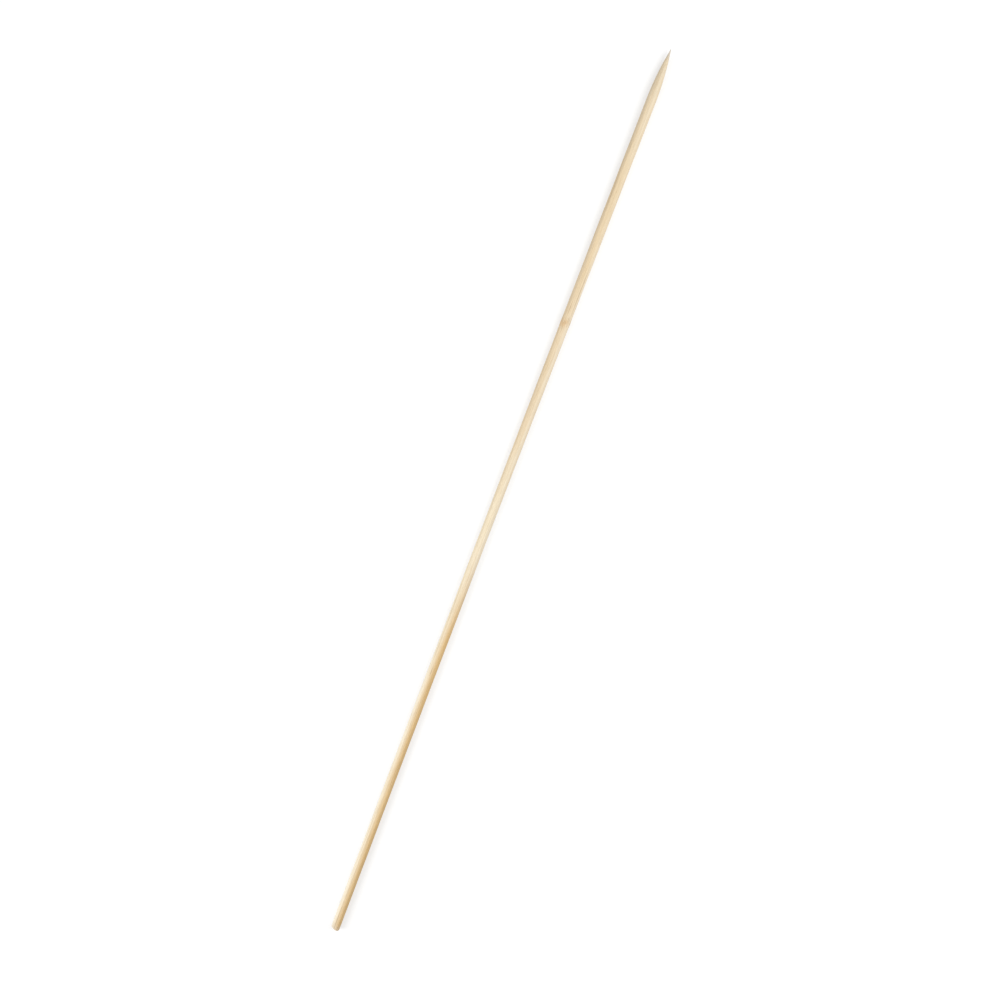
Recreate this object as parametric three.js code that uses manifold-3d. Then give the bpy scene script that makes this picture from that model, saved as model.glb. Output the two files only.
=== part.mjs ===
// A bamboo skewer for grilled and party food, as one closed solid in millimetres.
//
// The stick lies at rest: +X runs along it towards the point, +Z is up, and the
// lower of its two planed faces lies on z = 0. It is centred on the origin in x and y.
//
// It is made the way the real one is. A strip split from the cane has its two wide
// faces planed, is drawn through a round die, is cut square at one end and is ground
// to a long round point at the other. So the stick is a body of revolution, a little
// bowed along the strip's width, cut by the two planes of the strip.

import * as THREE from 'three';
import { mergeVertices } from 'three/addons/utils/BufferGeometryUtils.js';
import Module from 'manifold-3d';

// Stick
const LENGTH = 305;            // cut end to tip, a twelve inch stick
const DIE_DIAMETER = 3;        // hole of the die that rounds the strip
const PLANED_DEPTH = 0.1;      // how far each planed face lies inside the round

// Point
const POINT_LENGTH = 15.5;     // from the tip to where the full round begins
const TIP_RADIUS = 0.1;        // the fine end is blunt by this much

// Cut end
const RIM_RADIUS = 0.35;       // the rim of the square cut is worn round

// Node, the ring where the cane had a joint
const NODE_FROM_TIP = 86;      // tip to the middle of the ring
const NODE_WIDTH = 3.4;        // length of the ring along the stick
const NODE_SWELL = 0.05;       // how far the ring stands proud of the round

// Bow, the sideways bend that the strip takes as it dries
const BOW_DEPTH = 0.4;         // greatest offset from the straight line

// Facets
const SIDES = 40;              // round the stick
const TIP_STEPS = 4;           // over the blunt tip
const POINT_STEPS = 20;        // along the ground curve
const NODE_STEPS = 10;         // along the ring
const RIM_STEPS = 6;           // round the rim of the cut end
const SHANK_STEP = 10;         // longest stretch of plain shank

const wasm = await Module();
wasm.setup();

const RADIUS = DIE_DIAMETER / 2;

// Profile of revolution
//
// Each point is (radius, height above the cut end). The profile starts on the axis
// at the cut end and ends on the axis at the tip.

// The square face, then a quarter circle between it and the side.
function rimProfile() {
  const inner = RADIUS - RIM_RADIUS;
  const rim = new THREE.EllipseCurve(
    inner, RIM_RADIUS, RIM_RADIUS, RIM_RADIUS, -Math.PI / 2, 0,
  );
  return [new THREE.Vector2(0, 0), ...rim.getPoints(RIM_STEPS)];
}

// Evenly spaced heights after the first one, up to and with the last one.
function heights(first, last, steps) {
  return Array.from({ length: steps }, (_, i) => (
    THREE.MathUtils.lerp(first, last, (i + 1) / steps)
  ));
}

// The ring swells and falls as one wave of a cosine, and meets the round smoothly.
function radiusAtNode(height, middle) {
  const along = (height - middle) / NODE_WIDTH;
  const wave = Math.abs(along) < 0.5 ? (1 + Math.cos(2 * Math.PI * along)) / 2 : 0;
  return RADIUS + NODE_SWELL * wave;
}

// Plain round on both sides of the node, in steps short enough to carry the bow.
function shankProfile() {
  const middle = LENGTH - NODE_FROM_TIP;
  const nodeStart = middle - NODE_WIDTH / 2;
  const nodeEnd = middle + NODE_WIDTH / 2;
  const shankEnd = LENGTH - POINT_LENGTH;
  const lowerSteps = Math.ceil((nodeStart - RIM_RADIUS) / SHANK_STEP);
  const upperSteps = Math.ceil((shankEnd - nodeEnd) / SHANK_STEP);
  const stations = [
    ...heights(RIM_RADIUS, nodeStart, lowerSteps),
    ...heights(nodeStart, nodeEnd, NODE_STEPS),
    ...heights(nodeEnd, shankEnd, upperSteps),
  ];
  return stations.map((height) => (
    new THREE.Vector2(radiusAtNode(height, middle), height)
  ));
}

// The grinding wheel leaves a parabola that runs out along the shank without a
// corner, and the blunt tip is an arc that the parabola meets on a common tangent.
function pointProfile() {
  const slope = (2 * (RADIUS - TIP_RADIUS)) / POINT_LENGTH;
  const lean = Math.atan(slope);
  const centre = LENGTH - TIP_RADIUS;
  const start = new THREE.Vector2(RADIUS, LENGTH - POINT_LENGTH);
  const end = new THREE.Vector2(
    TIP_RADIUS * Math.cos(lean),
    centre + TIP_RADIUS * Math.sin(lean),
  );
  const control = new THREE.Vector2(RADIUS, end.y - (RADIUS - end.x) / slope);
  const ground = new THREE.QuadraticBezierCurve(start, control, end);
  const tip = new THREE.EllipseCurve(
    0, centre, TIP_RADIUS, TIP_RADIUS, lean, Math.PI / 2,
  );
  return [
    ...ground.getPoints(POINT_STEPS).slice(1),
    ...tip.getPoints(TIP_STEPS).slice(1),
  ];
}

// Offset of the stick's axis at a height above the cut end: half a wave of a sine.
function bowAt(height) {
  return BOW_DEPTH * Math.sin((Math.PI * height) / LENGTH);
}

// The round stick along +X, with its cut end at x = 0 and its bow towards +Y.
function bowedRound() {
  const profile = [...rimProfile(), ...shankProfile(), ...pointProfile()];
  const geometry = new THREE.LatheGeometry(profile, SIDES);
  geometry.rotateZ(-Math.PI / 2);
  const position = geometry.getAttribute('position');
  for (let i = 0; i < position.count; i += 1) {
    position.setY(i, position.getY(i) + bowAt(position.getX(i)));
  }
  return geometry;
}

// The planed strip, wider and longer than the round, so that only its faces cut.
function planedStrip() {
  const thickness = DIE_DIAMETER - 2 * PLANED_DEPTH;
  const spare = 2 * (DIE_DIAMETER + NODE_SWELL + BOW_DEPTH);
  const geometry = new THREE.BoxGeometry(LENGTH + spare, 2 * spare, thickness);
  geometry.translate(LENGTH / 2, 0, 0);
  return geometry;
}

// A closed solid from a geometry: its shared vertices are welded, and the triangles
// that shrink to nothing at the two ends of the axis are left out.
function solidFrom(geometry) {
  geometry.deleteAttribute('normal');
  geometry.deleteAttribute('uv');
  const welded = mergeVertices(geometry);
  const index = welded.getIndex().array;
  const triangles = [];
  for (let i = 0; i < index.length; i += 3) {
    const [a, b, c] = index.slice(i, i + 3);
    if (a !== b && b !== c && c !== a) triangles.push(a, b, c);
  }
  return new wasm.Manifold(new wasm.Mesh({
    numProp: 3,
    vertProperties: new Float32Array(welded.getAttribute('position').array),
    triVerts: new Uint32Array(triangles),
  }));
}

function geometryFrom(solid) {
  const { vertProperties, triVerts } = solid.getMesh();
  const geometry = new THREE.BufferGeometry();
  geometry.setAttribute('position', new THREE.BufferAttribute(vertProperties, 3));
  geometry.setIndex(new THREE.BufferAttribute(triVerts, 1));
  return geometry;
}

// The skewer, laid on its lower planed face and centred over the origin.
function skewerGeometry() {
  const solid = solidFrom(bowedRound()).intersect(solidFrom(planedStrip()));
  const geometry = geometryFrom(solid);
  geometry.computeBoundingBox();
  const { min, max } = geometry.boundingBox;
  geometry.translate(-(min.x + max.x) / 2, -(min.y + max.y) / 2, -min.z);
  geometry.computeVertexNormals();
  return geometry;
}

// Pale dry bamboo, matt, neither stained nor varnished.
const bamboo = new THREE.MeshStandardMaterial({
  color: 0xead6ae,
  roughness: 0.72,
  metalness: 0,
});

const skewer = new THREE.Mesh(skewerGeometry(), bamboo);
skewer.name = 'skewer';

const group = new THREE.Group();
group.add(skewer);

export default group;
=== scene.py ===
"""A bamboo skewer lying on a pale studio floor.

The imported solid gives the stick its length, thickness and place. The stick shown here
is the same form worked out again with numpy at a finer pitch, with the fibre bundles,
torn fibres, node, ground point and cut end of real bamboo.
"""

import math

import bpy
import numpy as np
from mathutils import Matrix, Vector


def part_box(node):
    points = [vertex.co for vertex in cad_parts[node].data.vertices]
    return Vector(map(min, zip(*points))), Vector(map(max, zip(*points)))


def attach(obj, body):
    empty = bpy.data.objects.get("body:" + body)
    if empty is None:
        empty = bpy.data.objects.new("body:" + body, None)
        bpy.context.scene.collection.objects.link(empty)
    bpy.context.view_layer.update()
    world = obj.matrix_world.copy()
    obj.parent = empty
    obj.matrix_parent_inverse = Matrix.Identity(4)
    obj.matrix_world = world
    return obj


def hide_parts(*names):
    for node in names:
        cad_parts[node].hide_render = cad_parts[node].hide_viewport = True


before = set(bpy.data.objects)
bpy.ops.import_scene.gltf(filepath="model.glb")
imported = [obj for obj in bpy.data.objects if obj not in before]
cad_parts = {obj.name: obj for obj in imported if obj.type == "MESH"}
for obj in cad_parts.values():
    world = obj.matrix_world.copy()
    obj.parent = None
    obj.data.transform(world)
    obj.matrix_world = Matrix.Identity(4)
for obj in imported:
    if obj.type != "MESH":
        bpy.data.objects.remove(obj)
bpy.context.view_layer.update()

bl_info = {
    "name": "Bamboo Skewer",
    "version": (1, 0, 0),
    "blender": (4, 5, 0),
    "location": "View3D > Sidebar > Skewer",
    "description": "Makes a bamboo skewer with fibre bundles, a node, a point and a cut end",
    "category": "Add Mesh",
}

MM = 0.001
LOW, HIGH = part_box("skewer")

# Rings along the stick, and points round each ring
AROUND = 128
FACE_RINGS = 14
RIM_RINGS = 7
POINT_RINGS = 112
TIP_RINGS = 8
SHANK_PITCH = 0.56 * MM
NODE_PITCH = 0.1 * MM

# Fibre bundles: how many, how far out they lie in half thicknesses, how they crowd
# towards the skin, their widths, and how they lean, wave and swerve at the node
BUNDLES = 130
BUNDLE_REACH = 1.5
BUNDLE_CROWDING = 0.7
BUNDLE_WIDTH_CORE = 0.24 * MM
BUNDLE_WIDTH_SKIN = 0.12 * MM
BUNDLE_WIDTH_SPREAD = (0.7, 1.15)
BUNDLE_STRENGTH = (0.45, 1.0)
BUNDLE_LEAN = 0.0028
BUNDLE_WAVE = 0.05 * MM
BUNDLE_WAVE_LENGTH = (40 * MM, 90 * MM)
BUNDLE_SWERVE = 0.16 * MM
BUNDLE_SWERVE_REACH = 1.5 * MM

# Torn fibres along the stick, and the shorter ones at the node
TEARS = 46
TEAR_LENGTH = (4 * MM, 22 * MM)
TEAR_WIDTH = (0.06 * MM, 0.12 * MM)
TEAR_STRENGTH = (0.35, 1)
NODE_TEARS = 44
NODE_TEAR_SPREAD = 1.1 * MM
NODE_TEAR_LENGTH = (0.8 * MM, 3.2 * MM)
NODE_TEAR_WIDTH = (0.06 * MM, 0.13 * MM)
NODE_TEAR_STRENGTH = (0.4, 1)

# The node's scar, and the side that its tone is strongest on
SCAR_LOBES = (1, 2, 3, 5, 8)
SCAR_WANDER = 0.16 * MM
SCAR_WIDTH = 0.17 * MM
SCAR_STRENGTH = 0.55
SCAR_UNEVENNESS = 0.22
SCAR_DEPTH_SHARE = 0.6
NODE_TONE_ANGLE = 0.9
NODE_TONE_EDGES = (0, 0.9)
NODE_TONE_LEAST = 0.3

# Fine ribs: how many waves make them up, how many ribs go round the stick in one, and
# the length over which they drift once round
STREAKS = 60
STREAK_COUNTS = (9, 46)
STREAK_DRIFT_LENGTH = 60 * MM
STREAK_SHARE = 0.45

# Slow waves of the die, with fewer than this many lobes round the stick
WAVES = 6
WAVE_LENGTH = (14 * MM, 70 * MM)
WAVE_LOBES = 4

# Tan wood, partly the dense wood of the cane's skin and partly painted shade: its flank
# below and above the middle of the stick, which the lamps leave in shade, how wide and
# strong it is there, and the shares of the stick's length over which it fades
LOWER_SHADED_FLANK = math.radians(170)
LOWER_FLANK_EDGES = (-0.8, 0.9)
LOWER_FADE = (0.35, 0.49)
UPPER_SHADED_FLANK = math.radians(20)
UPPER_TAN = 0.33
UPPER_SHADE_SWING = 0.16
UPPER_FADE = (0.5, 0.62)
TIP_FADE = (0.8, 1)
TIP_FADE_SHARE = 0.3

# Ground point: where its marks end in point lengths, and the rings of the wheel
GROUND_EDGES = (0.8, 1.05)
WHEEL_PITCH = 0.42 * MM
WHEEL_WOBBLE = 1.4
WHEEL_LOBES = 3

# Cut end: the saw's step, the bundles' share of the roughness, how wide and long the
# worn corner is, and how far the end grain's colour reaches along the stick in rim radii
CUT_STEP = (-0.3 * MM, 0.5 * MM)
CUT_STEP_SLANT = 0.35
CUT_BUNDLE_SHARE = 0.65
WEAR_EDGES = (-0.8, 0.9)
WEAR_REACH = 2.5 * MM
CUT_TONE_REACH = 0.6

# Relief fades to nothing within this share of the radius round each pole
POLE_FADE = 0.25

# Dust on the two ends: the distances over which it fades, and its share at the cut
TIP_DUST = (0.8 * MM, 4.2 * MM)
CUT_DUST = (0.2 * MM, 3.2 * MM)
CUT_DUST_SHARE = 0.42

# Patterns of the finish: cycles a metre on each axis, detail and seed
TONE = ((16, 260, 260), 3.0, 3.1)
GRAIN = ((55, 6200, 6200), 3.0, 11.7)
FIBRE = ((130, 17000, 17000), 2.0, 4.4)
FLECK = ((300, 9500, 9500), 2.0, 5.3)
CLOUD = ((900, 3200, 3200), 4.0, 2.2)
WHEEL_MARK = ((5200, 500, 500), 2.0, 8.8)
PORE = ((2600, 8200, 8200), 3.0, 6.6)

# The values between which each pattern, and each bundle's end, comes in
TONE_RANGE = (0.38, 0.66)
GRAIN_RANGE = (0.48, 0.74)
FIBRE_RANGE = (0.54, 0.72)
FLECK_RANGE = (0.66, 0.76)
CLOUD_RANGE = (0.36, 0.6)
WHEEL_MARK_RANGE = (0.45, 0.75)
PORE_RANGE = (0.54, 0.78)
STRAND_END_RANGE = (0.45, 0.8)

# How strongly each layer of colour is laid on, and the wheel's marks at least and most
STRENGTH = {
    "grain": 0.42, "bundle": 0.55, "fibre": 0.42, "fleck": 0.6, "tear": 0.85,
    "node": 0.7, "scar": 0.35, "dust": 0.85, "cut": 0.7, "pore": 0.42, "strand_end": 0.7,
}
WHEEL_MARK_STRENGTH = (0.1, 0.4)

# Roughness that follows the grain, and relief of the finish
ROUGH_RANGE = (0.3, 0.75)
ROUGHNESS = (0.56, 0.78)
RELIEF_STRENGTH = 0.7
GRAIN_RELIEF = 0.03 * MM
FIBRE_RELIEF = 0.014 * MM

# The floor's glow grows to white between these distances from the stick's middle
GLOW_FADE = (0.22, 0.6)

# The photograph's frame in pixels, and where the stick's two ends lie in it
PICTURE_SIZE = 1001
TIP_PIXEL = (671.0, 49.2)
CUT_PIXEL = (334.9, 928.7)

# Each soft lamp's place, and the place that it faces
CUT_LAMP = ((-0.16, 0.26, 0.20), (-0.10, 0.0, 0.0))
TIP_LAMP = ((0.14, -0.25, 0.27), (0.10, 0.0, 0.0))


def srgb(red, green, blue):
    """The linear colour of three 8-bit display values."""
    shares = np.array([red, green, blue]) / 255
    linear = np.where(shares <= 0.04045, shares / 12.92, ((shares + 0.055) / 1.055) ** 2.4)
    return tuple(float(share) for share in linear)


class SkewerSizes(bpy.types.PropertyGroup):
    """Sizes of the stick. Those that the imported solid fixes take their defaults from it."""

    length: bpy.props.FloatProperty(
        name="Length", description="Cut end to tip",
        default=HIGH.x - LOW.x, unit="LENGTH")
    thickness: bpy.props.FloatProperty(
        name="Thickness", description="Between the two planed faces",
        default=HIGH.z - LOW.z, unit="LENGTH")
    planed_depth: bpy.props.FloatProperty(
        name="Planed depth", description="How far each planed face lies inside the round",
        default=0.1 * MM, unit="LENGTH")
    edge_softness: bpy.props.FloatProperty(
        name="Edge softness", description="Width over which a planed face runs into the round",
        default=0.012 * MM, unit="LENGTH")
    point_length: bpy.props.FloatProperty(
        name="Point length", description="From the tip to where the full round begins",
        default=15.5 * MM, unit="LENGTH")
    tip_radius: bpy.props.FloatProperty(
        name="Tip radius", description="Bluntness of the fine end",
        default=0.1 * MM, unit="LENGTH")
    rim_radius: bpy.props.FloatProperty(
        name="Rim radius", description="Wear of the cut end's rim",
        default=0.35 * MM, unit="LENGTH")
    node_from_tip: bpy.props.FloatProperty(
        name="Node place", description="From the tip to the middle of the node",
        default=86 * MM, unit="LENGTH")
    node_width: bpy.props.FloatProperty(
        name="Node width", description="Length of the swollen ring",
        default=3.4 * MM, unit="LENGTH")
    node_swell: bpy.props.FloatProperty(
        name="Node swell", description="How far the ring stands proud of the round",
        default=0.05 * MM, unit="LENGTH")
    bow_depth: bpy.props.FloatProperty(
        name="Bow", description="Greatest sideways offset from the straight line",
        default=0.4 * MM, unit="LENGTH")
    bundle_relief: bpy.props.FloatProperty(
        name="Bundle relief", description="How far the flesh lies below the fibre bundles",
        default=0.035 * MM, unit="LENGTH")
    tear_depth: bpy.props.FloatProperty(
        name="Tear depth", description="Depth of a torn fibre's groove",
        default=0.07 * MM, unit="LENGTH")
    wave_depth: bpy.props.FloatProperty(
        name="Die wave", description="Slow unevenness that the die leaves along the stick",
        default=0.02 * MM, unit="LENGTH")
    grind_depth: bpy.props.FloatProperty(
        name="Grinding marks",
        description="Depth of the rings that the wheel leaves on the point",
        default=0.012 * MM, unit="LENGTH")
    corner_wear: bpy.props.FloatProperty(
        name="Corner wear", description="How far the cut is worn back on the bowed side",
        default=0.5 * MM, unit="LENGTH")
    cut_depth: bpy.props.FloatProperty(
        name="Cut roughness", description="Depth of the steps and pits in the cut face",
        default=0.07 * MM, unit="LENGTH")
    seed: bpy.props.IntProperty(
        name="Seed", description="Picks the pattern of bundles and tears", default=7)


class SkewerColours(bpy.types.PropertyGroup):
    """Colours of dry bamboo, as linear values."""

    flesh: bpy.props.FloatVectorProperty(
        name="Flesh", description="Pale ground tissue between the bundles",
        default=srgb(252, 244, 225), subtype="COLOR", min=0, max=1)
    warm_flesh: bpy.props.FloatVectorProperty(
        name="Warm flesh", description="The yellower stretches of the ground tissue",
        default=srgb(247, 231, 200), subtype="COLOR", min=0, max=1)
    # Tan of the dense wood, also laid on as painted shade along the flank that the lamps leave
    # in shade
    dense_and_shade: bpy.props.FloatVectorProperty(
        name="Dense wood", description="Tan wood from near the cane's skin",
        default=srgb(223, 183, 118), subtype="COLOR", min=0, max=1)
    bundle: bpy.props.FloatVectorProperty(
        name="Bundle", description="Tan fibre bundles",
        default=srgb(226, 200, 158), subtype="COLOR", min=0, max=1)
    tear: bpy.props.FloatVectorProperty(
        name="Tear", description="Shaded bottom of a torn fibre's groove",
        default=srgb(186, 156, 112), subtype="COLOR", min=0, max=1)
    node: bpy.props.FloatVectorProperty(
        name="Node", description="Warm brown of the node",
        default=srgb(231, 192, 142), subtype="COLOR", min=0, max=1)
    point: bpy.props.FloatVectorProperty(
        name="Point", description="Greyer tone of the fine end",
        default=srgb(224, 208, 178), subtype="COLOR", min=0, max=1)
    dust: bpy.props.FloatVectorProperty(
        name="Dust", description="Dusty grey of the last millimetres at both ends",
        default=srgb(222, 212, 198), subtype="COLOR", min=0, max=1)
    cut: bpy.props.FloatVectorProperty(
        name="Cut end", description="End grain of the cut",
        default=srgb(232, 206, 160), subtype="COLOR", min=0, max=1)
    strand_end: bpy.props.FloatVectorProperty(
        name="Strand ends", description="Brown ends of the fibre bundles in the cut face",
        default=srgb(146, 112, 72), subtype="COLOR", min=0, max=1)


class SkewerStudio(bpy.types.PropertyGroup):
    """The floor, the light and the camera."""

    floor_size: bpy.props.FloatProperty(
        name="Floor size", description="Side of the square floor", default=6.0, unit="LENGTH")
    floor_colour: bpy.props.FloatVectorProperty(
        name="Floor", description="Colour of the floor",
        default=(0.6, 0.6, 0.6), subtype="COLOR", min=0, max=1)
    floor_glow: bpy.props.FloatProperty(
        name="Floor glow", description="Light that the floor adds where it is seen",
        default=0.5, min=0, max=1)
    floor_bounce: bpy.props.FloatProperty(
        name="Floor bounce",
        description="Share of light that the floor throws back on the stick",
        default=0.5, min=0, max=1)
    sky_light: bpy.props.FloatProperty(
        name="Sky light", description="Even light from all round", default=0.46, min=0)
    cut_lamp_power: bpy.props.FloatProperty(
        name="Lamp at the cut end", description="Power of the soft lamp on the bowed side",
        default=0.7, min=0, unit="POWER")
    tip_lamp_power: bpy.props.FloatProperty(
        name="Lamp at the tip", description="Power of the soft lamp on the other side",
        default=0.78, min=0, unit="POWER")
    lamp_size: bpy.props.FloatProperty(
        name="Lamp size", description="Side of each soft lamp", default=0.25, unit="LENGTH")
    focal_pixels: bpy.props.FloatProperty(
        name="Focal length", description="Focal length of the picture in its own pixels",
        default=2000.0, min=1)
    depth_ratio: bpy.props.FloatProperty(
        name="Depth ratio", description="Distance of the cut end over that of the tip",
        default=1.15, min=0.1)


# Form of the stick


def full_radius(sizes):
    """Radius of the round before its two faces are planed."""
    return sizes.thickness / 2 + sizes.planed_depth


def node_middle(sizes):
    """Height of the node's middle above the cut end."""
    return sizes.length - sizes.node_from_tip


def even_steps(start, end, steps):
    """Values from start to end in equal steps, without the first."""
    return np.linspace(start, end, steps + 1)[1:]


def stretch(start, end, pitch):
    """Places from start to end at about the pitch, without the first."""
    return even_steps(start, end, max(1, math.ceil((end - start) / pitch)))


def profile(sizes):
    """Height above the cut end and radius of each ring, from the cut face to the tip.

    The cut face is flat and the rim a quarter circle. The shank is straight, with its rings
    set closer over the node. The point is a parabola, as a curve with one control
    point, and the tip an arc that the parabola meets on a common tangent.
    """
    radius = full_radius(sizes)
    rim = sizes.rim_radius
    inner = radius - rim
    face = np.stack([np.zeros(FACE_RINGS), even_steps(0, inner, FACE_RINGS)])

    turn = even_steps(0, math.pi / 2, RIM_RINGS)
    rim_arc = np.stack([rim * (1 - np.cos(turn)), inner + rim * np.sin(turn)])

    middle = node_middle(sizes)
    half = sizes.node_width / 2
    shank_end = sizes.length - sizes.point_length
    places = np.concatenate([
        stretch(rim, middle - half, SHANK_PITCH),
        stretch(middle - half, middle + half, NODE_PITCH),
        stretch(middle + half, shank_end, SHANK_PITCH),
    ])
    shank = np.stack([places, np.full_like(places, radius)])

    slope = 2 * (radius - sizes.tip_radius) / sizes.point_length
    lean = math.atan(slope)
    centre = sizes.length - sizes.tip_radius
    start = np.array([[shank_end], [radius]])
    end = np.array([
        [centre + sizes.tip_radius * math.sin(lean)],
        [sizes.tip_radius * math.cos(lean)],
    ])
    control = np.array([end[0] - (radius - end[1]) / slope, [radius]])
    t = even_steps(0, 1, POINT_RINGS)
    ground = (1 - t) ** 2 * start + 2 * t * (1 - t) * control + t ** 2 * end

    turn = even_steps(lean, math.pi / 2, TIP_RINGS)[:-1]
    tip = np.stack([
        centre + sizes.tip_radius * np.sin(turn),
        sizes.tip_radius * np.cos(turn),
    ])
    return np.concatenate([face, rim_arc, shank, ground, tip], axis=1)


def node_wave(height, sizes):
    """One wave of a cosine over the node's width, from 0 at its edges to 1 in its middle."""
    along = (height - node_middle(sizes)) / sizes.node_width
    return np.where(np.abs(along) < 0.5, (1 + np.cos(2 * np.pi * along)) / 2, 0.0)


def bow(height, sizes):
    """Sideways offset of the axis: half a wave of a sine from end to end."""
    return sizes.bow_depth * np.sin(np.pi * height / sizes.length)


def planed(z, sizes):
    """Heights held between the two planed faces.

    It is a soft minimum of the height and half the thickness, with the height's sign.
    """
    soft = sizes.edge_softness
    half = sizes.thickness / 2
    return -np.sign(z) * soft * np.logaddexp(-np.abs(z) / soft, -half / soft)


def outward(points):
    """Unit normals of a grid of points, from the cross product of its two tangents."""
    round_tangent = np.roll(points, -1, axis=1) - np.roll(points, 1, axis=1)
    long_tangent = np.gradient(points, axis=0)
    normals = np.cross(round_tangent, long_tangent)
    return normals / np.linalg.norm(normals, axis=2, keepdims=True)


# Grain of the stick


def bundle_share(rng, height, y, z, sizes):
    """How far each point lies in a fibre bundle, from 0 to 1.

    A bundle is a long thin rod. Its share is its strength times a bell curve of the
    distance from its middle line, and the largest share of any bundle counts. Bundles
    crowd towards the upper face, which lay nearest the cane's skin, and are finer
    there. Each middle line leans, waves slowly and swerves at the node.
    """
    reach = BUNDLE_REACH * sizes.thickness / 2
    off = height - sizes.length / 2
    kick = np.exp(-((height - node_middle(sizes)) / BUNDLE_SWERVE_REACH) ** 2)
    share = np.zeros_like(height)
    for _ in range(BUNDLES):
        to_skin = rng.random() ** BUNDLE_CROWDING
        rod_z = reach * (2 * to_skin - 1)
        rod_y = rng.uniform(-reach, reach)
        width = BUNDLE_WIDTH_CORE + (BUNDLE_WIDTH_SKIN - BUNDLE_WIDTH_CORE) * to_skin
        width *= rng.uniform(*BUNDLE_WIDTH_SPREAD)
        lean_y, lean_z = rng.normal(0, BUNDLE_LEAN, 2)
        swerve_y, swerve_z = rng.normal(0, BUNDLE_SWERVE, 2)
        phase_y, phase_z = rng.uniform(0, 2 * np.pi, 2)
        wave = 2 * np.pi / rng.uniform(*BUNDLE_WAVE_LENGTH)
        strength = rng.uniform(*BUNDLE_STRENGTH)
        wave_y = BUNDLE_WAVE * np.sin(wave * off + phase_y)
        wave_z = BUNDLE_WAVE * np.sin(wave * off + phase_z)
        line_y = rod_y + lean_y * off + wave_y + swerve_y * kick
        line_z = rod_z + lean_z * off + wave_z + swerve_z * kick
        distance = ((y - line_y) ** 2 + (z - line_z) ** 2) / width ** 2
        share = np.maximum(share, strength * np.exp(-distance))
    return share


def spindle(height, angle, place, turn, length, width, radius):
    """A narrow groove, 1 in its middle: a bell curve across and a parabola along."""
    across = (angle - turn + np.pi) % (2 * np.pi) - np.pi
    along = (height - place) / (length / 2)
    return np.exp(-(across * radius / width) ** 2) * np.clip(1 - along ** 2, 0, 1)


def tear_share(rng, height, angle, sizes):
    """Grooves where single fibres were torn out, from 0 to 1.

    Long ones lie anywhere along the stick, and short ones crowd at the node as a bell
    curve of the distance from it. The deepest groove at a point counts.
    """
    radius = sizes.thickness / 2
    middle = node_middle(sizes)
    kinds = (
        (TEARS, lambda: rng.uniform(0, sizes.length),
         TEAR_LENGTH, TEAR_WIDTH, TEAR_STRENGTH),
        (NODE_TEARS, lambda: middle + rng.normal(0, NODE_TEAR_SPREAD),
         NODE_TEAR_LENGTH, NODE_TEAR_WIDTH, NODE_TEAR_STRENGTH),
    )
    share = np.zeros_like(height)
    for count, somewhere, lengths, widths, strengths in kinds:
        for _ in range(count):
            place = somewhere()
            turn = rng.uniform(-np.pi, np.pi)
            length = rng.uniform(*lengths)
            width = rng.uniform(*widths)
            strength = rng.uniform(*strengths)
            groove = spindle(height, angle, place, turn, length, width, radius)
            share = np.maximum(share, strength * groove)
    return share


def scar_share(rng, height, angle, sizes):
    """The thin scar round the node, from 0 to 1.

    It is a bell curve of the distance from a line that wanders up and down round the
    stick as a few cosines of the angle, and a few more make it strong and weak by turns.
    """
    line = np.full_like(angle, node_middle(sizes))
    strength = np.full_like(angle, SCAR_STRENGTH)
    for lobes in SCAR_LOBES:
        wander = np.cos(lobes * angle + rng.uniform(0, 2 * np.pi))
        line += SCAR_WANDER * wander / lobes ** 0.5
        strength += SCAR_UNEVENNESS * np.cos((lobes + 2) * angle + rng.uniform(0, 2 * np.pi))
    return np.clip(strength, 0, 1) * np.exp(-((height - line) / SCAR_WIDTH) ** 2)


def streak_share(rng, height, angle):
    """Fine ribs along the stick, from 0 to 1: cosines round it, whose phases drift along it."""
    total = np.zeros_like(height)
    for _ in range(STREAKS):
        count = rng.integers(*STREAK_COUNTS)
        drift = rng.normal(0, 2 * np.pi / STREAK_DRIFT_LENGTH)
        phase = rng.uniform(0, 2 * np.pi)
        total += np.cos(count * angle + drift * height + phase)
    return np.clip(0.5 + total / (2 * math.sqrt(STREAKS)), 0, 1)


def slow_wave(rng, height, angle):
    """Slow unevenness from 0 to 1: a few long waves, each a little turned round the stick."""
    total = np.zeros_like(height)
    for _ in range(WAVES):
        wave = 2 * np.pi / rng.uniform(*WAVE_LENGTH)
        lobes = rng.integers(0, WAVE_LOBES)
        total += np.cos(wave * height + lobes * angle + rng.uniform(0, 2 * np.pi))
    return np.clip(0.5 + total / (WAVES + 1), 0, 1)


def smooth(values, low, high):
    """0 below low, 1 above high, and a smooth step between."""
    t = np.clip((values - low) / (high - low), 0, 1)
    return t * t * (3 - 2 * t)


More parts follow.
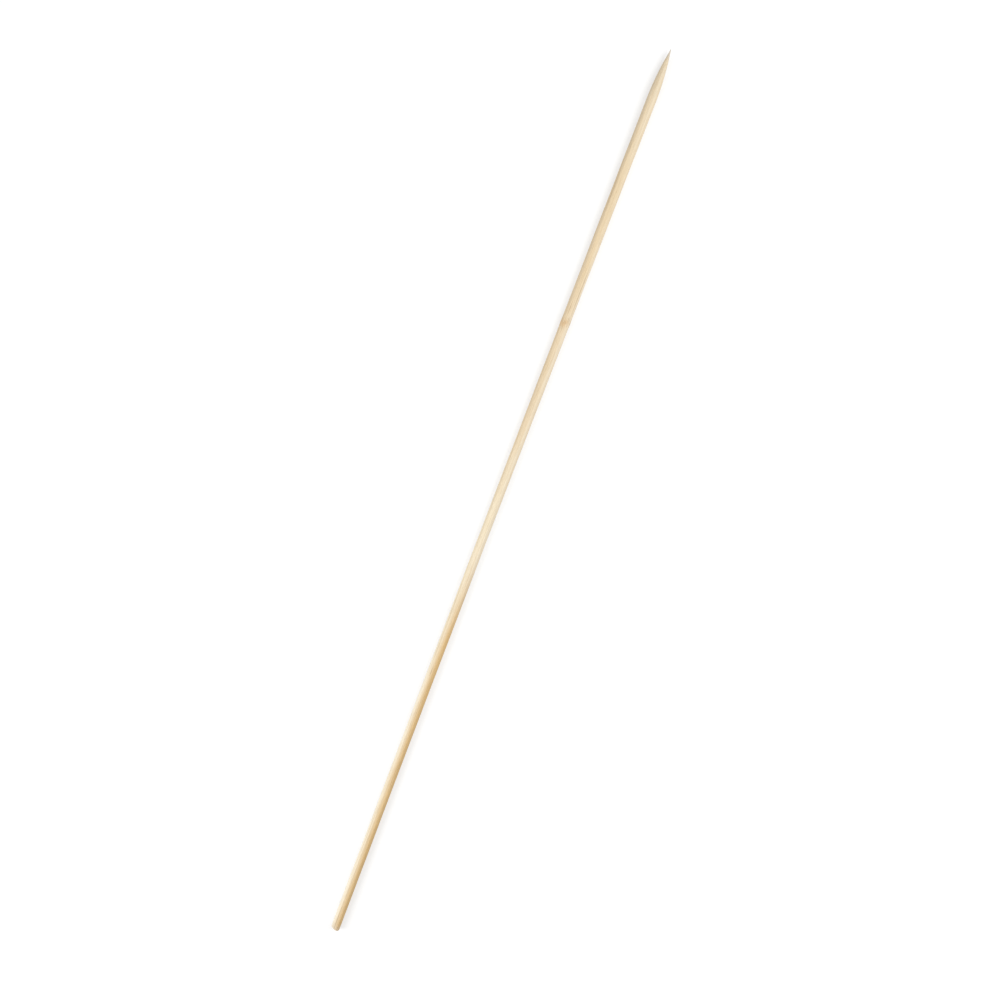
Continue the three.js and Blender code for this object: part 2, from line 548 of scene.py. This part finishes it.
def dense_and_shade_share(height, angle, sizes):
    """How tan the wood is at each point, from 0 to 1: partly the dense wood of the cane's
    skin, and partly painted shade on the flank that the lamps leave in shade.

    Below the middle, the tan runs along one flank, the one that the lamp at the cut end
    leaves in shade: its share is a smooth step of the cosine of the angle from that
    flank. Above the middle it lies nearly evenly round the stick, and is a constant and a
    little of the cosine of the angle from the other flank, which the lamp at the tip leaves
    in shade, and weakens towards the tip. Between the two the stick is pale.
    """
    along = height / sizes.length
    # Painted shade: tan on the flank that the lamp at the cut end leaves in shade
    flank = smooth(np.cos(angle - LOWER_SHADED_FLANK), *LOWER_FLANK_EDGES)
    lower = flank * (1 - smooth(along, *LOWER_FADE))
    # A constant tan, and as painted shade a little more on the flank that the lamp at the tip
    # leaves in shade
    even = UPPER_TAN + UPPER_SHADE_SWING * np.cos(angle - UPPER_SHADED_FLANK)
    to_tip = 1 - TIP_FADE_SHARE * smooth(along, *TIP_FADE)
    upper = even * smooth(along, *UPPER_FADE) * to_tip
    return lower + upper


def node_tone(height, angle, sizes):
    """The node's tone, from 0 to 1: the root of its swell, strongest on the upper bowed side."""
    side = smooth(np.cos(angle - NODE_TONE_ANGLE), *NODE_TONE_EDGES)
    return node_wave(height, sizes) ** 0.5 * (NODE_TONE_LEAST + (1 - NODE_TONE_LEAST) * side)


def dust_share(height, sizes):
    """Dust on the last millimetres of both ends: a smooth step from each, the larger counts."""
    at_tip = 1 - smooth(sizes.length - height, *TIP_DUST)
    at_cut = CUT_DUST_SHARE * (1 - smooth(height, *CUT_DUST))
    return np.maximum(at_tip, at_cut)


def stick_surface(sizes):
    """Points of the stick on a grid of rings, and the marks that its finish reads.

    A point at a ring's height and radius and an angle round it lies on a circle that
    the two planed faces cut. It is sunk along the surface's normal by the flesh
    between the bundles, the fine ribs, the tears and the die's slow wave, by the
    wheel's rings on the point, and on the cut face by steps and pits. The corner of
    the cut on the bowed side is moved back along the stick by a smooth step.
    """
    rng = np.random.default_rng(sizes.seed)
    ring_height, ring_radius = profile(sizes)
    turn = np.arange(AROUND) * 2 * np.pi / AROUND
    height = np.repeat(ring_height[:, None], AROUND, axis=1)
    angle = np.repeat(turn[None, :], len(ring_height), axis=0)
    radius = ring_radius[:, None] + sizes.node_swell * node_wave(height, sizes)
    y = radius * np.cos(angle)
    z = planed(radius * np.sin(angle), sizes)

    full = full_radius(sizes)
    on_face = (np.arange(len(ring_height)) < FACE_RINGS)[:, None]
    from_tip = sizes.length - height
    ground = 1 - smooth(from_tip / sizes.point_length, *GROUND_EDGES)

    bundle = bundle_share(rng, height, y, z, sizes)
    tear = tear_share(rng, height, angle, sizes) * ~on_face
    streak = streak_share(rng, height, angle)
    wave = slow_wave(rng, height, angle)
    scar = scar_share(rng, height, angle, sizes)
    wobble = WHEEL_WOBBLE * np.sin(WHEEL_LOBES * angle)
    rings = 0.5 + 0.5 * np.sin(2 * np.pi * from_tip / WHEEL_PITCH + wobble)

    side_depth = (
        sizes.bundle_relief * ((1 - STREAK_SHARE) * (1 - bundle) + STREAK_SHARE * streak)
        + sizes.tear_depth * np.maximum(tear, SCAR_DEPTH_SHARE * scar)
        + sizes.wave_depth * wave
        + sizes.grind_depth * rings * ground
    )
    step = smooth(y + CUT_STEP_SLANT * z, *CUT_STEP)
    face_depth = sizes.cut_depth * (CUT_BUNDLE_SHARE * bundle + (1 - CUT_BUNDLE_SHARE) * step)
    rim_share = smooth(height, 0, sizes.rim_radius)
    depth = np.where(on_face, face_depth, face_depth * (1 - rim_share) + side_depth * rim_share)
    depth *= np.clip(radius / (POLE_FADE * full), 0, 1)

    near_cut = 1 - smooth(height, 0, WEAR_REACH)
    worn = sizes.corner_wear * smooth(y / full, *WEAR_EDGES) * near_cut
    points = np.stack([
        LOW.x + height + worn,
        LOW.y + full + bow(height, sizes) + y,
        (LOW.z + HIGH.z) / 2 + z,
    ], axis=2)
    points -= outward(points) * depth[:, :, None]
    marks = {
        "bundle": bundle,
        # Tan of the dense wood, and painted shade on the flank that the lamps leave in shade
        "dense_and_shade": dense_and_shade_share(height, angle, sizes),
        "tear": tear,
        "node": node_tone(height, angle, sizes),
        "scar": scar,
        "ground": ground * ~on_face,
        "dust": dust_share(height, sizes),
        "cut": 1 - smooth(height, 0, CUT_TONE_REACH * sizes.rim_radius),
    }
    return points, marks


def closed_grid(name, points, marks, first_pole, last_pole):
    """A closed mesh from rings of points, with a fan to a pole at each end.

    Ring and place give a point's number, so a face is its four neighbours' numbers.
    The marks become point attributes, and a pole takes its ring's average.
    """
    rings, around = points.shape[:2]
    ring = np.arange(rings - 1)[:, None] * around
    here = np.arange(around)[None, :]
    after = (here + 1) % around
    quads = np.stack([ring + here, ring + after, ring + around + after, ring + around + here],
                     axis=2).reshape(-1, 4)
    first, last = rings * around, rings * around + 1
    here, after = here[0], after[0]
    bottom = (rings - 1) * around
    caps = np.concatenate([
        np.stack([np.full(around, first), after, here], axis=1),
        np.stack([np.full(around, last), bottom + here, bottom + after], axis=1),
    ])
    mesh = bpy.data.meshes.new(name)
    places = np.concatenate([points.reshape(-1, 3), [first_pole], [last_pole]])
    mesh.from_pydata(places, [], quads.tolist() + caps.tolist())
    for label, values in marks.items():
        attribute = mesh.attributes.new(label, "FLOAT", "POINT")
        ends = [values[0].mean(), values[-1].mean()]
        attribute.data.foreach_set("value", np.concatenate([values.ravel(), ends]))
    mesh.shade_smooth()
    mesh.update()
    piece = bpy.data.objects.new(name, mesh)
    bpy.context.scene.collection.objects.link(piece)
    return piece


# Finish


def feed(tree, value, socket):
    """Links a node's output to a socket, or sets the socket to a plain value."""
    if isinstance(value, bpy.types.NodeSocket):
        tree.links.new(value, socket)
    else:
        socket.default_value = value


def place_node(tree, kind, settings=None, **inputs):
    """A shader node with its settings, and its inputs as values or as links."""
    made = tree.nodes.new(kind)
    for name, value in (settings or {}).items():
        setattr(made, name, value)
    for name, value in inputs.items():
        feed(tree, value, made.inputs[name.replace("_", " ")])
    return made


def noise(tree, scale, detail, seed):
    """Noise on the stick's own coordinates, with a scale for each axis in cycles a metre."""
    where = place_node(tree, "ShaderNodeTexCoord").outputs["Object"]
    fitted = place_node(
        tree, "ShaderNodeMapping", Vector=where, Scale=scale, Location=(seed, seed, seed))
    made = place_node(
        tree, "ShaderNodeTexNoise", Vector=fitted.outputs["Vector"], Scale=1.0, Detail=detail)
    return made.outputs["Fac"]


def span(tree, value, low, high, to_low=0.0, to_high=1.0):
    """A value's range mapped to another and held there."""
    made = place_node(tree, "ShaderNodeMapRange", Value=value, From_Min=low, From_Max=high,
                      To_Min=to_low, To_Max=to_high)
    return made.outputs["Result"]


def times(tree, value, other):
    """The product of two values."""
    made = place_node(tree, "ShaderNodeMath", {"operation": "MULTIPLY"})
    feed(tree, value, made.inputs[0])
    feed(tree, other, made.inputs[1])
    return made.outputs["Value"]


def blend(tree, share, under, over):
    """A colour laid over another by a share."""
    made = place_node(tree, "ShaderNodeMix", {"data_type": "RGBA"})
    sockets = {socket.identifier: socket for socket in made.inputs}
    feed(tree, share, sockets["Factor_Float"])
    for name, colour in (("A_Color", under), ("B_Color", over)):
        linked = isinstance(colour, bpy.types.NodeSocket)
        feed(tree, colour if linked else (*colour, 1.0), sockets[name])
    return next(socket for socket in made.outputs if socket.identifier == "Result_Color")


def lay(tree, colour, over, share, strength):
    """A colour laid over another by a share and a strength."""
    return blend(tree, times(tree, share, strength), colour, over)


def mark(tree, name):
    """One of the marks that the stick's surface carries."""
    return place_node(tree, "ShaderNodeAttribute", {"attribute_name": name}).outputs["Fac"]


def bamboo_finish(colours):
    """Dry bamboo: pale flesh with tan bundles, fine grain, a warm node and greyer ends.

    The colours are laid over each other in this order: flesh, dense wood with painted
    shade on one flank, grain, bundles, fibres, flecks, tears, node and scar, the wheel's
    marks, dust, and last the end grain with its pores and the ends of its bundles.
    """
    material = bpy.data.materials.new("dry_bamboo")
    material.use_nodes = True
    tree = material.node_tree
    tree.nodes.clear()
    grain = noise(tree, *GRAIN)
    fibre = noise(tree, *FIBRE)
    bundle = mark(tree, "bundle")
    cut = mark(tree, "cut")

    tone = span(tree, noise(tree, *TONE), *TONE_RANGE)
    colour = blend(tree, tone, colours.flesh, colours.warm_flesh)
    # Tan of the dense wood, partly painted shade on the flank that the lamps leave in shade
    colour = blend(tree, mark(tree, "dense_and_shade"), colour, colours.dense_and_shade)
    grain_lines = span(tree, grain, *GRAIN_RANGE)
    colour = lay(tree, colour, colours.bundle, grain_lines, STRENGTH["grain"])
    colour = lay(tree, colour, colours.bundle, bundle, STRENGTH["bundle"])
    fibre_lines = span(tree, fibre, *FIBRE_RANGE)
    colour = lay(tree, colour, colours.tear, fibre_lines, STRENGTH["fibre"])
    flecks = span(tree, noise(tree, *FLECK), *FLECK_RANGE)
    colour = lay(tree, colour, colours.tear, flecks, STRENGTH["fleck"])
    colour = lay(tree, colour, colours.tear, mark(tree, "tear"), STRENGTH["tear"])

    clouds = span(tree, noise(tree, *CLOUD), *CLOUD_RANGE)
    node_share = times(tree, mark(tree, "node"), clouds)
    colour = lay(tree, colour, colours.node, node_share, STRENGTH["node"])
    colour = lay(tree, colour, colours.tear, mark(tree, "scar"), STRENGTH["scar"])

    wheel_marks = span(tree, noise(tree, *WHEEL_MARK), *WHEEL_MARK_RANGE, *WHEEL_MARK_STRENGTH)
    colour = lay(tree, colour, colours.point, mark(tree, "ground"), wheel_marks)
    colour = lay(tree, colour, colours.dust, mark(tree, "dust"), STRENGTH["dust"])

    colour = lay(tree, colour, colours.cut, cut, STRENGTH["cut"])
    pores = times(tree, cut, span(tree, noise(tree, *PORE), *PORE_RANGE))
    colour = lay(tree, colour, colours.strand_end, pores, STRENGTH["pore"])
    strand_ends = times(tree, cut, span(tree, bundle, *STRAND_END_RANGE))
    colour = lay(tree, colour, colours.strand_end, strand_ends, STRENGTH["strand_end"])

    rough = span(tree, grain, *ROUGH_RANGE, *ROUGHNESS)
    coarse = place_node(
        tree, "ShaderNodeBump", Height=grain, Strength=RELIEF_STRENGTH, Distance=GRAIN_RELIEF)
    relief = place_node(
        tree, "ShaderNodeBump", Height=fibre, Strength=RELIEF_STRENGTH, Distance=FIBRE_RELIEF,
        Normal=coarse.outputs["Normal"])
    shader = place_node(
        tree, "ShaderNodeBsdfPrincipled", Base_Color=colour, Roughness=rough,
        Normal=relief.outputs["Normal"], Metallic=0.0, IOR=1.45)
    output = tree.nodes.new("ShaderNodeOutputMaterial")
    tree.links.new(shader.outputs["BSDF"], output.inputs["Surface"])
    return material


def seen_ray(tree):
    """1 where the camera, a reflection or a view through glass meets the surface, else 0."""
    path = tree.nodes.new("ShaderNodeLightPath").outputs
    seen = path["Is Camera Ray"]
    for kind in ("Is Glossy Ray", "Is Transmission Ray"):
        either = tree.nodes.new("ShaderNodeMath")
        either.operation = "MAXIMUM"
        tree.links.new(seen, either.inputs[0])
        tree.links.new(path[kind], either.inputs[1])
        seen = either.outputs["Value"]
    return seen


def floor_finish(colour, glow, bounce):
    """A plain pale floor without gloss.

    Where it is seen it glows a little, so that it looks white and keeps the shadow,
    and the glow grows to full white far from the stick. To the light that it throws
    back it is a mid grey.
    """
    material = bpy.data.materials.new("pale_floor")
    material.use_nodes = True
    tree = material.node_tree
    tree.nodes.clear()
    seen = seen_ray(tree)
    lit = blend(tree, seen, (bounce, bounce, bounce), colour)
    matt = place_node(tree, "ShaderNodeBsdfDiffuse", Color=lit)
    where = place_node(tree, "ShaderNodeTexCoord").outputs["Object"]
    away = place_node(tree, "ShaderNodeVectorMath", {"operation": "LENGTH"})
    tree.links.new(where, away.inputs[0])
    level = times(tree, seen, span(tree, away.outputs["Value"], *GLOW_FADE, glow, 1.0))
    shine = place_node(tree, "ShaderNodeEmission", Color=(1, 1, 1, 1), Strength=level)
    both = tree.nodes.new("ShaderNodeAddShader")
    tree.links.new(matt.outputs["BSDF"], both.inputs[0])
    tree.links.new(shine.outputs["Emission"], both.inputs[1])
    output = tree.nodes.new("ShaderNodeOutputMaterial")
    tree.links.new(both.outputs["Shader"], output.inputs["Surface"])
    return material


# Operators


class SKEWER_OT_stick(bpy.types.Operator):
    """Make the stick with its point, node, cut end and fibre"""

    bl_idname = "skewer.stick"
    bl_label = "Stick"

    def execute(self, context):
        sizes = context.scene.skewer_sizes
        points, marks = stick_surface(sizes)
        cut_middle = points[0].mean(axis=0)
        tip = np.array([HIGH.x, points[-1, :, 1].mean(), (LOW.z + HIGH.z) / 2])
        stick = closed_grid("stick", points, marks, cut_middle, tip)
        stick.data.materials.append(bamboo_finish(context.scene.skewer_colours))
        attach(stick, "root")
        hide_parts("skewer")
        return {"FINISHED"}


def sight(pixel, focal):
    """The direction to a pixel in the camera's own axes, one unit deep."""
    middle = PICTURE_SIZE / 2
    return Vector(((pixel[0] - middle) / focal, (middle - pixel[1]) / focal, -1.0))


def camera_place(studio, axis_offset):
    """The camera's matrix that puts the stick's two ends on their pixels.

    A pixel and a depth give a point in the camera's axes, and the depths are those
    that set the two points a stick's length apart. The line between them is the
    world's X axis there, and the world's Z axis is the part of the way to the camera
    that is square to it.
    """
    length = HIGH.x - LOW.x
    to_tip = sight(TIP_PIXEL, studio.focal_pixels)
    to_cut = sight(CUT_PIXEL, studio.focal_pixels) * studio.depth_ratio
    tip = to_tip * (length / (to_tip - to_cut).length)
    along = (to_tip - to_cut).normalized()
    back = Vector((0.0, 0.0, 1.0))
    up = (back - along * back.dot(along)).normalized()
    turn = Matrix((along, up.cross(along), up))
    tip_place = Vector((HIGH.x, LOW.y + axis_offset, (LOW.z + HIGH.z) / 2))
    return Matrix.Translation(tip_place - turn @ tip) @ turn.to_4x4()


def soft_lamp(name, place, target, power, size):
    """A square soft lamp that faces a point and isn't seen itself."""
    light = bpy.data.lights.new(name, "AREA")
    light.energy = power
    light.size = size
    lamp = bpy.data.objects.new(name, light)
    lamp.location = place
    lamp.rotation_mode = "QUATERNION"
    lamp.rotation_quaternion = (Vector(place) - Vector(target)).to_track_quat("Z", "Y")
    lamp.visible_camera = False
    bpy.context.scene.collection.objects.link(lamp)


def white_world(strength):
    """A world that lights evenly, and is plain white where it is seen or mirrored."""
    world = bpy.data.worlds.new("studio")
    world.use_nodes = True
    tree = world.node_tree
    tree.nodes.clear()
    level = span(tree, seen_ray(tree), 0.0, 1.0, strength, 1.0)
    shader = place_node(tree, "ShaderNodeBackground", Strength=level, Color=(1, 1, 1, 1))
    output = tree.nodes.new("ShaderNodeOutputWorld")
    tree.links.new(shader.outputs["Background"], output.inputs["Surface"])
    bpy.context.scene.world = world


class SKEWER_OT_studio(bpy.types.Operator):
    """Make the floor, the soft lamps, the world and the camera"""

    bl_idname = "skewer.studio"
    bl_label = "Studio"

    def execute(self, context):
        studio = context.scene.skewer_studio
        half = studio.floor_size / 2
        corners = [(x, y, LOW.z) for x, y in (
            (-half, -half), (half, -half), (half, half), (-half, half))]
        mesh = bpy.data.meshes.new("floor")
        mesh.from_pydata(corners, [], [(0, 1, 2, 3)])
        mesh.materials.append(
            floor_finish(studio.floor_colour, studio.floor_glow, studio.floor_bounce))
        floor = bpy.data.objects.new("floor", mesh)
        context.scene.collection.objects.link(floor)

        soft_lamp("lamp_at_cut_end", *CUT_LAMP, studio.cut_lamp_power, studio.lamp_size)
        soft_lamp("lamp_at_tip", *TIP_LAMP, studio.tip_lamp_power, studio.lamp_size)
        white_world(studio.sky_light)

        view = bpy.data.cameras.new("camera")
        view.lens = view.sensor_width * studio.focal_pixels / PICTURE_SIZE
        camera = bpy.data.objects.new("camera", view)
        axis_offset = full_radius(context.scene.skewer_sizes)
        camera.matrix_world = camera_place(studio, axis_offset)
        context.scene.collection.objects.link(camera)
        context.scene.camera = camera
        context.scene.view_settings.view_transform = "Standard"
        return {"FINISHED"}


class SKEWER_PT_sidebar(bpy.types.Panel):
    """Sizes, colours and operators of the skewer"""

    bl_idname = "SKEWER_PT_sidebar"
    bl_label = "Bamboo Skewer"
    bl_space_type = "VIEW_3D"
    bl_region_type = "UI"
    bl_category = "Skewer"

    def draw(self, context):
        for group in ("skewer_sizes", "skewer_colours", "skewer_studio"):
            box = self.layout.box()
            settings = getattr(context.scene, group)
            for name in settings.__annotations__:
                box.prop(settings, name)
        for operator in (SKEWER_OT_stick, SKEWER_OT_studio):
            self.layout.operator(operator.bl_idname)


CLASSES = (
    SkewerSizes,
    SkewerColours,
    SkewerStudio,
    SKEWER_OT_stick,
    SKEWER_OT_studio,
    SKEWER_PT_sidebar,
)


def register():
    for cls in CLASSES:
        bpy.utils.register_class(cls)
    bpy.types.Scene.skewer_sizes = bpy.props.PointerProperty(type=SkewerSizes)
    bpy.types.Scene.skewer_colours = bpy.props.PointerProperty(type=SkewerColours)
    bpy.types.Scene.skewer_studio = bpy.props.PointerProperty(type=SkewerStudio)


def unregister():
    del bpy.types.Scene.skewer_studio
    del bpy.types.Scene.skewer_colours
    del bpy.types.Scene.skewer_sizes
    for cls in reversed(CLASSES):
        bpy.utils.unregister_class(cls)


def main():
    register()
    bpy.ops.skewer.stick()
    bpy.ops.skewer.studio()


if __name__ == "__main__":
    main()
